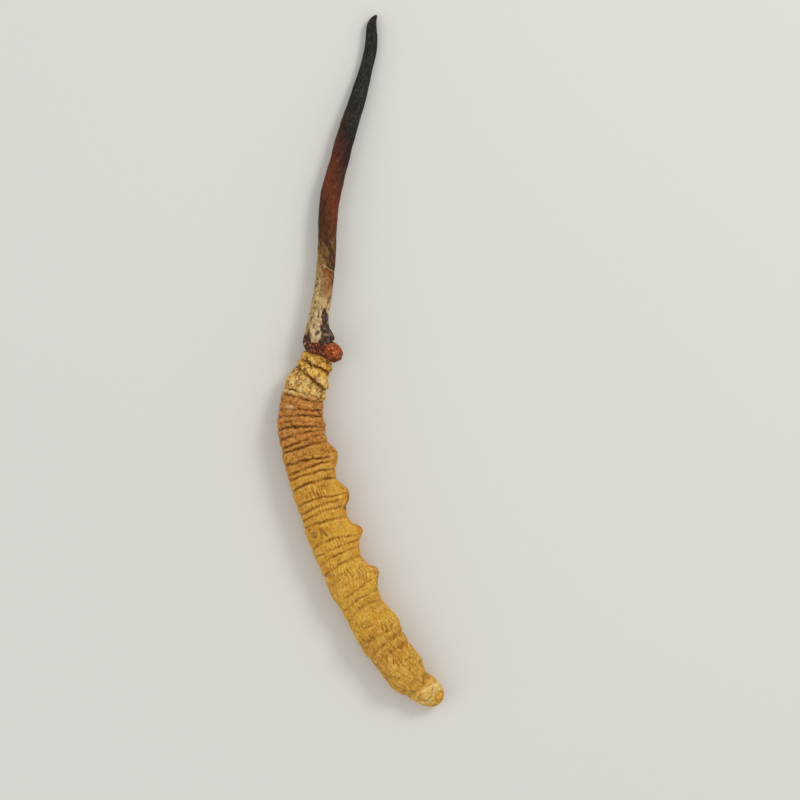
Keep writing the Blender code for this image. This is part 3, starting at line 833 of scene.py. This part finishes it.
class Finish:
    """A node material under construction, with short names for the nodes it needs."""

    def __init__(self, name):
        self.material = bpy.data.materials.new(name)
        self.material.use_nodes = True
        self.tree = self.material.node_tree
        self.surface = self.tree.nodes["Principled BSDF"]

    def add(self, kind, **settings):
        node = self.tree.nodes.new(kind)
        for key, value in settings.items():
            setattr(node, key, value)
        return node

    def link(self, source, socket):
        """Sets the socket to a constant, or links it to an output."""
        if isinstance(source, (int, float, tuple)):
            socket.default_value = source
        else:
            self.tree.links.new(source, socket)

    def attribute(self, name):
        return self.add("ShaderNodeAttribute", attribute_name=name).outputs["Fac"]

    def place(self, along, across):
        """The place on the piece in millimetres, scaled along it and across it."""
        vector = self.add("ShaderNodeAttribute", attribute_name="place").outputs["Vector"]
        node = self.add("ShaderNodeMapping")
        self.link(vector, node.inputs["Vector"])
        node.inputs["Scale"].default_value = (along, across, across)
        return node.outputs["Vector"]

    def noise(self, scale, detail=4.0, rough=0.55, stretch=(1, 1), swirl=0.0):
        node = self.add("ShaderNodeTexNoise")
        self.link(swirl, node.inputs["Distortion"])
        self.link(self.place(*stretch), node.inputs["Vector"])
        node.inputs["Scale"].default_value = scale
        node.inputs["Detail"].default_value = detail
        node.inputs["Roughness"].default_value = rough
        return node.outputs["Fac"]

    def math(self, operation, first, second=0.0, third=0.0):
        node = self.add("ShaderNodeMath", operation=operation)
        for source, socket in zip((first, second, third), node.inputs):
            self.link(source, socket)
        return node.outputs["Value"]

    def times(self, first, second):
        return self.math("MULTIPLY", first, second)

    def scaled(self, value, factor, added):
        return self.math("MULTIPLY_ADD", value, factor, added)

    def swing(self, *settings):
        """Noise that swings about 0."""
        return self.math("SUBTRACT", self.noise(*settings), 0.5)

    def between(self, value, low, high, first=0.0, last=1.0):
        """Maps low..high of the value to first..last, smoothly."""
        node = self.add("ShaderNodeMapRange", interpolation_type="SMOOTHSTEP")
        for source, key in ((value, "Value"), (low, "From Min"), (high, "From Max"),
                            (first, "To Min"), (last, "To Max")):
            self.link(source, node.inputs[key])
        return node.outputs["Result"]

    def ramp(self, value, stops):
        node = self.add("ShaderNodeValToRGB")
        elements = node.color_ramp.elements
        while len(elements) < len(stops):
            elements.new(1.0)
        for element, (place, code) in zip(elements, stops):
            element.position = place
            element.color = linear(code)
        self.link(value, node.inputs["Fac"])
        return node.outputs["Color"]

    def mix(self, share, first, second, blend="MIX"):
        """The first colour, or by this share the second one."""
        node = self.add("ShaderNodeMix", data_type="RGBA", blend_type=blend)
        self.link(share, node.inputs["Factor"])
        for source, key in ((first, "A"), (second, "B")):
            socket = [s for s in node.inputs if s.name == key and s.type == "RGBA"][0]
            self.link(linear(source) if isinstance(source, str) else source, socket)
        return [s for s in node.outputs if s.type == "RGBA"][0]

    def tinted(self, share, colour, tint):
        """The colour multiplied by a tint, by this share."""
        return self.mix(share, colour, tint, "MULTIPLY")

    def marked(self, base, name, share, colour):
        """The colour laid on where the attribute is 1, by this share."""
        return self.mix(self.times(self.attribute(name), share), base, colour)

    def toned(self, base, value, low, high, share, colour, where=None):
        """The colour laid on as the value goes from low to high, up to this share of it
        and, if a place is given, only there."""
        share = self.between(value, low, high, 0.0, share)
        return self.mix(share if where is None else self.times(share, where), base, colour)

    def finish(self, colour, rough, height, depth, specular=0.4):
        self.link(colour, self.surface.inputs["Base Color"])
        self.link(rough, self.surface.inputs["Roughness"])
        self.surface.inputs["Specular IOR Level"].default_value = specular
        bump = self.add("ShaderNodeBump")
        bump.inputs["Distance"].default_value = depth
        self.link(height, bump.inputs["Height"])
        self.link(bump.outputs["Normal"], self.surface.inputs["Normal"])
        return self.material


# Colours along the larva, from neck to tail, as shares of its length.
SKIN_TONES = (
    (0.0, "fcbc30"), (0.045, "fcc648"), (0.075, "f8c860"), (0.115, "f8ca62"), (0.128, "ce8a3e"),
    (0.23, "d29132"), (0.27, "d49c36"), (0.36, "d6a036"), (0.5, "deab3c"), (0.72, "e3b13e"),
    (0.8, "d8a540"), (0.92, "e2b248"), (0.965, "eac46c"), (1.0, "dca038"))


def body_material():
    m = Finish("dried_skin")
    neck = m.attribute("neck")
    along = m.math("ADD", m.attribute("along"), m.between(m.noise(0.5, 3.0), 0, 1, -0.008, 0.008))
    base = m.ramp(along, SKIN_TONES)
    base = m.tinted(m.between(m.noise(0.45, 4.0), 0.4, 0.62, 0.0, 0.35), base, "f0c07c")
    base = m.toned(base, m.noise(0.9, 5.0), 0.56, 0.72, 0.3, "b8782e")
    front = m.times(m.between(along, 0.12, 0.135), m.between(along, 0.26, 0.34, 1.0, 0.0))
    stains = m.noise(1.3, 4.0, 0.6, (1, 0.8))
    base = m.toned(base, stains, 0.5, 0.66, 0.6, "8e5230", front)
    base = m.marked(base, "yellow", 0.75, "d6971e")
    base = m.marked(base, "rusty", 0.65, "944a22")
    base = neck_crumbs(m, base)
    # Painted shade in the groove hollows.
    base = m.marked(base, "hollow", 0.45, "a0600f")
    loose = m.between(along, 0.45, 0.7, 0.6, 2.2)
    strokes = m.swing(1.0, 2.0, 0.5, (1.7, 5.2), loose)
    rings = m.swing(1.0, 2.0, 0.5, (4.6, 0.9), 0.4)
    crinkles = m.swing(2.8, 2.5, 0.65, (1, 1.4), 1.6)
    relief = m.times(strokes, m.scaled(m.attribute("stroked"), 1.1, 0.1))
    relief = m.scaled(rings, 0.4, m.scaled(crinkles, 0.35, relief))
    rough = m.attribute("rough")
    knobs = m.swing(3.0, 3.0, 0.62, (1.5, 0.8), 1.2)
    relief = m.scaled(m.times(knobs, rough), 1.3, relief)
    relief = m.times(relief, m.scaled(neck, -0.8, 1.0))
    # Painted highlight where the shader's relief and the fine relief rise, and painted shade where
    # they sink; the shader's relief is also the bump. On the neck the fine attribute also holds each
    # crumb's own tone.
    light = m.mix(rough, "fcd06c", "f2b468")
    base = m.toned(base, relief, 0.02, 0.2, 0.55, light)
    base = m.toned(base, relief, 0.0, -0.18, 0.55, m.mix(rough, "a0640c", "6c380e"))
    fine = m.attribute("fine")
    base = m.toned(base, fine, 0.1, 0.9, 0.58, light)
    base = m.toned(base, fine, 0.0, -0.9, 0.55, m.mix(rough, "94580c", "6e3a10"))
    # Painted highlight on the lips beside the creases.
    base = m.marked(base, "lip", 0.35, light)
    pale = m.mix(neck, m.mix(rough, "f6dc94", "ffd8ac"), "f8dc98")
    share = m.scaled(neck, -0.32, 0.92)
    base = m.marked(base, "pale", share, pale)
    base = m.marked(base, "cracks", 0.72, "643608")
    base = m.toned(base, m.attribute("leg"), 0.6, 1.0, 0.18, "b8742e")
    # Painted shade along the groove creases.
    base = m.marked(base, "crease", 0.84, "542a08")
    base = m.marked(base, "dark", 0.76, "643010")
    grain = m.noise(6.0, 5.0, 0.65)
    depth = m.scaled(rough, 0.11, 0.26)
    base = m.tinted(m.between(grain, 0.38, 0.62, depth, 0.0), base, "a88248")
    height = m.scaled(grain, 0.2, relief)
    return m.finish(base, m.between(grain, 0.3, 0.7, 0.6, 0.85), height, 0.00012, 0.18)


def neck_crumbs(m, base):
    """Yellow and cream crumbs, brown gaps, dark specks and painted glints of bright grit on the
    neck.
    """
    neck = m.attribute("neck")
    light = m.mix(m.between(m.attribute("along"), 0.045, 0.075), "ffcc44", "fedb94")
    crumb = m.noise(1.4, 3.0, 0.6, (1.2, 1), 1.0)
    base = m.toned(base, crumb, 0.48, 0.56, 0.75, light, neck)
    base = m.toned(base, crumb, 0.43, 0.36, 0.55, "a0620c", neck)
    grit_and_glints = m.noise(3.8, 3.0, 0.65, (1.1, 1), 0.8)
    specked = m.times(m.between(m.noise(0.9, 2.0), 0.42, 0.56, 0.25, 1.0), neck)
    # The bright grit flecks are painted glints; the dark ones are specks in the skin.
    base = m.toned(base, grit_and_glints, 0.53, 0.6, 0.7, "ffe9a4", neck)
    return m.toned(base, grit_and_glints, 0.45, 0.38, 0.9, "5c300c", specked)


def head_material():
    m = Finish("head_capsule")
    tone = m.attribute("tone")
    base = m.ramp(tone, ((0.0, "481c10"), (0.45, "723218"), (0.75, "8c4626"), (0.9, "cc8a68"),
                         (1.0, "985234")))
    orange = m.ramp(tone, ((0.0, "9c4018"), (0.5, "bc5a26"), (1.0, "d67c40")))
    base = m.mix(m.attribute("orange"), base, orange)
    crust = m.ramp(tone, ((0.0, "33201a"), (0.5, "573a26"), (0.85, "785436"), (1.0, "d0ac86")))
    base = m.mix(m.attribute("crust"), base, crust)
    base = m.mix(m.between(m.attribute("border"), 0.0, 0.6, 0.75, 0.0), base, "401408")
    mottle_and_highlights = m.noise(3.0, 5.0, 0.68)
    base = m.toned(base, mottle_and_highlights, 0.45, 0.36, 0.75, "34120a")
    # The light flecks are painted highlights on the head's beads; the dark ones are its own dark
    # tone.
    base = m.toned(base, mottle_and_highlights, 0.57, 0.66, 0.48, "cc8c68")
    return m.finish(base, m.between(mottle_and_highlights, 0.3, 0.7, 0.6, 0.8), m.noise(6.0, 5.0), 0.00008, 0.2)


# Colours along the stalk: distance from where it starts in the head, and colour.
STALK_LENGTH = 43.3
STALK_TONES = (
    (0.0, "e8c898"), (3.0, "e8cc9c"), (6.0, "dcbe88"), (8.3, "be965a"), (9.6, "94703e"),
    (11.2, "6e4a28"), (12.6, "57381e"), (15.0, "53331b"), (17.0, "6c3a20"), (19.5, "7c3d20"),
    (21.5, "70391f"), (23.5, "5e3522"), (26.0, "412820"), (29.0, "2d2826"), (34.0, "2d2c2a"),
    (41.4, "2d2a28"), (42.4, "3c2c28"), (43.0, "8a6a60"), (43.3, "6a4c42"))


def stalk_material():
    m = Finish("stalk_flesh")
    from_foot = m.attribute("from_foot")
    side = m.attribute("side")
    slant = m.times(side, m.scaled(from_foot, 0.14, 0.2))
    slant = m.times(slant, m.between(from_foot, 29.0, 34.0, 1.0, 0.0))
    golden = m.times(m.between(from_foot, 7.0, 9.5), m.between(from_foot, 12.5, 15.5, 1.0, 0.0))
    slant = m.scaled(m.times(golden, side), 0.9, slant)
    wobble = m.between(m.noise(0.6, 4.0, 0.6, (0.5, 1.5)), 0.25, 0.75, -1.1, 1.1)
    place = m.math("DIVIDE", m.math("ADD", m.math("ADD", from_foot, slant), wobble), STALK_LENGTH)
    base = m.ramp(place, [(at / STALK_LENGTH, code) for at, code in STALK_TONES])
    foot = m.between(from_foot, 7.5, 10.0, 1.0, 0.0)
    fibre = m.noise(1.6, 4.0, 0.6, (0.5, 2.4), 0.5)
    base = m.tinted(m.between(fibre, 0.5, 0.35, 0.0, 0.55), base, "7a5240")
    threads = m.attribute("threads")
    base = m.toned(base, threads, 0.0, 0.6, 0.6, "b8905a", golden)
    base = m.toned(base, threads, -0.1, -0.6, 0.48, "40281a", golden)
    specks = m.noise(3.4, 4.0, 0.7, (0.8, 1.6))
    base = m.toned(base, specks, 0.55, 0.68, 0.3, "a08478")
    base = m.toned(base, m.noise(0.8, 4.0), 0.54, 0.64, 0.45, "a4703a", foot)
    base = m.toned(base, m.noise(2.3, 4.0), 0.52, 0.66, 0.45, "ecd6a8", foot)
    flecks = m.noise(2.6, 4.0, 0.65, (0.9, 1.2), 0.8)
    flecked = m.times(foot, m.between(from_foot, 1.8, 4.0, 0.35, 1.0))
    base = m.toned(base, flecks, 0.54, 0.62, 0.5, "866034", flecked)
    black = m.between(from_foot, 26.0, 31.0)
    base = m.toned(base, m.noise(2.2, 5.0, 0.72), 0.48, 0.64, 0.5, "5a5b52", black)
    yellowish = m.times(foot, m.between(from_foot, 1.5, 3.0))
    base = m.toned(base, side, -0.4, -0.8, 0.4, "c8ac5c", yellowish)
    base = m.marked(base, "crease", 0.62, "68482a")
    base = m.marked(base, "stain", 0.7, "a8642e")
    base = m.marked(base, "pits", 0.95, "241004")
    base = m.marked(base, "ridge", 0.58, "e0c090")
    streaky = m.ramp(m.noise(3.0, 4.0, 0.7, (0.7, 1.1)),
                     ((0.4, "18100e"), (0.48, "38241c"), (0.56, "4c3e38"), (0.67, "9c8476")))
    streaky = m.marked(streaky, "streak_rim", 0.8, "4c2010")
    base = m.marked(base, "streak", 0.95, streaky)
    crusty = m.ramp(m.noise(2.6, 3.0, 0.6),
                    ((0.38, "2c1a14"), (0.5, "523624"), (0.6, "6c4c34"), (0.7, "c8a07c")))
    base = m.mix(m.attribute("crust"), base, crusty)
    fine = m.attribute("fine")
    # Painted shade where the stalk's relief dips.
    base = m.tinted(m.between(fine, 0.0, -1.2, 0.0, 0.55), base, "86603c")
    grain = m.noise(5.0, 5.0, 0.7, (0.6, 1.1))
    depth = m.between(from_foot, 8.0, 30.0, 0.3, 0.6)
    base = m.tinted(m.between(grain, 0.38, 0.62, depth, 0.0), base, "7a6450")
    height = m.scaled(fibre, 1.2, m.noise(5.0, 5.0, 0.6, (0.4, 1)))
    return m.finish(base, m.between(fibre, 0.0, 1.0, 0.6, 0.85), height, 0.00006, 0.15)


def floor_material():
    m = Finish("pale_floor")
    coordinates = m.add("ShaderNodeTexCoord").outputs["Object"]
    cloud = m.add("ShaderNodeTexNoise")
    m.link(coordinates, cloud.inputs["Vector"])
    cloud.inputs["Scale"].default_value = 8.0
    colour = m.ramp(cloud.outputs["Fac"], ((0.0, "dedcd6"), (1.0, "e1dfd9")))
    return m.finish(colour, 0.6, cloud.outputs["Fac"], 0.00001, 0.2)


# ---- stage

CAMERA_CENTRE = (4.9375, -4.9375)  # over the middle of the photo's frame
FRAME_WIDTH = 100.0  # of what the camera sees at the height of the larva's middle
CAMERA_HEIGHT = 600.0
MID_HEIGHT = 2.5
FLOOR_SIZE, FLOOR_DROP = 3.0, 0.00001  # metres; the drop keeps the floor off the part
DAYLIGHT = 0.64  # strength of the white light from all round
# Lamps: name, place and size in metres, power and colour.
LAMPS = (("key", (0.25, 0.2, 0.33), 0.14, 0.68, (1.0, 0.985, 0.95)),
         ("fill", (-0.35, -0.1, 0.3), 0.4, 0.36, (0.98, 0.99, 1.0)))


def add_stage():
    bpy.ops.mesh.primitive_plane_add(size=FLOOR_SIZE, location=(0.0, 0.0, -FLOOR_DROP))
    floor = bpy.context.object
    floor.name = "floor"
    floor.data.materials.append(floor_material())


def add_light(name, place, size, power, colour):
    """Adds a square lamp that shines at the part."""
    data = bpy.data.lights.new(name, "AREA")
    data.size = size
    data.energy = power
    data.color = colour
    lamp = bpy.data.objects.new(name, data)
    lamp.location = place
    lamp.rotation_mode = "QUATERNION"
    lamp.rotation_quaternion = (-Vector(place)).to_track_quat("-Z", "Y")
    bpy.context.scene.collection.objects.link(lamp)


def add_camera():
    data = bpy.data.cameras.new("camera")
    data.sensor_width = 36.0
    data.lens = data.sensor_width * (CAMERA_HEIGHT - MID_HEIGHT) / FRAME_WIDTH
    data.clip_start = 0.01
    camera = bpy.data.objects.new("camera", data)
    camera.location = Vector((*CAMERA_CENTRE, CAMERA_HEIGHT)) * MM
    bpy.context.scene.collection.objects.link(camera)
    bpy.context.scene.camera = camera


def light_scene():
    world = bpy.data.worlds.new("soft_room")
    world.use_nodes = True
    background = world.node_tree.nodes["Background"]
    background.inputs["Color"].default_value = (1.0, 1.0, 1.0, 1.0)
    background.inputs["Strength"].default_value = DAYLIGHT
    bpy.context.scene.world = world
    bpy.context.scene.view_settings.view_transform = "Standard"
    for lamp in LAMPS:
        add_light(*lamp)


def main():
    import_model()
    pieces = (
        (body_piece(body_material()), "larva_body", "dried_skin"),
        (head_piece(head_material()), "larva_head", "head_capsule"),
        (stalk_piece(stalk_material()), "stroma", "stalk_flesh"),
    )
    for piece, node, finish in pieces:
        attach(piece, "root")
        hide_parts(node)
    add_stage()
    light_scene()
    add_camera()


main()
